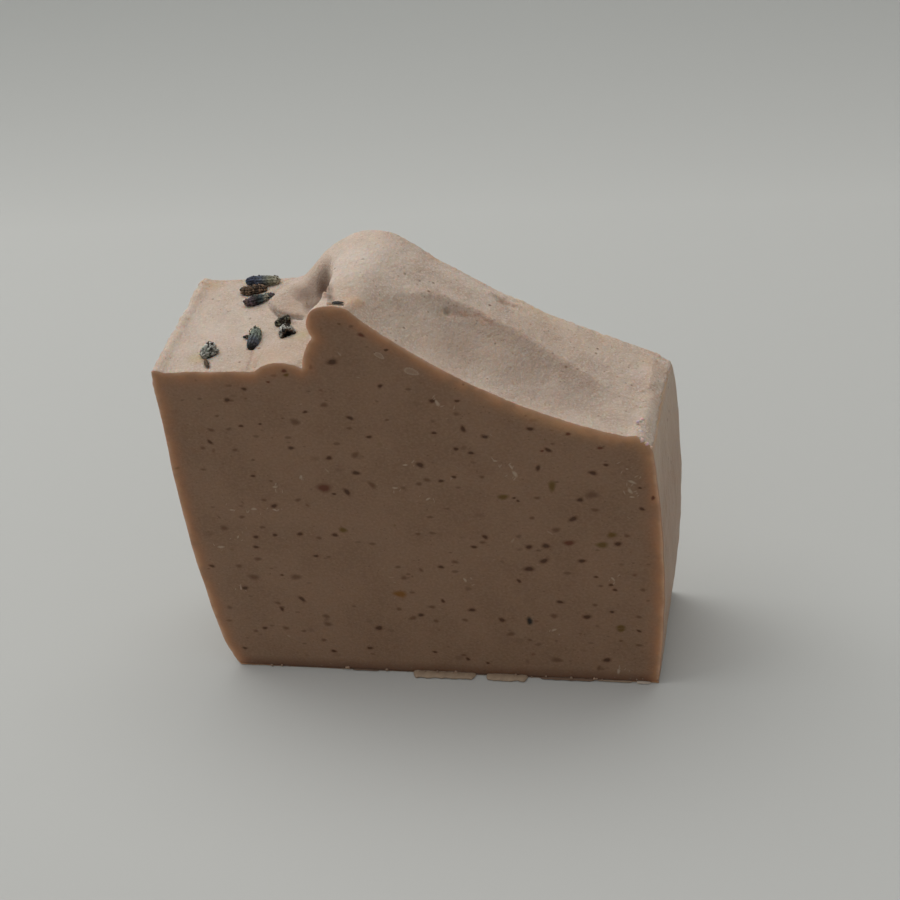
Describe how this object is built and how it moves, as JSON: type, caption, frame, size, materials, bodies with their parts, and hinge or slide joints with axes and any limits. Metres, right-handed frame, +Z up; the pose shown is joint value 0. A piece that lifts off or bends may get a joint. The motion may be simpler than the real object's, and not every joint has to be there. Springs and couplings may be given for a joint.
{
  "type": "bar of soap",
  "caption": "Slice of handmade soap, cut front and back, with a poured wavy top and dried lavender pressed into it.",
  "frame": {"origin": "on the surface it stands on, under the middle of its bounding box", "axes": "+Z up, +X along the bar's length towards its low end, -Y out of the cut face with the lip of the wave"},
  "size_m": [0.0826, 0.027, 0.0735],
  "materials": {
    "soap": "matte, slightly waxy, flecked with plant dust",
    "navy_bud": "dry plant, dull",
    "purple_bud": "dry plant, dull",
    "grey_bud": "dry plant, downy",
    "brown_calyx": "dry plant, crumbly",
    "grey_floret": "dry plant, downy",
    "dark_stalk": "dry plant, dull"
  },
  "bodies": {
    "root": {"soap_bar": "soap", "rear_bud": "navy_bud", "purple_bud": "purple_bud", "centre_bud": "grey_bud", "brown_calyx": "brown_calyx", "upper_floret": "brown_calyx", "open_floret": "grey_floret", "left_floret": "grey_floret", "centre_stem_chip": "dark_stalk", "left_stem_chip": "dark_stalk", "crest_sliver": "dark_stalk"}
  },
  "joints": []
}
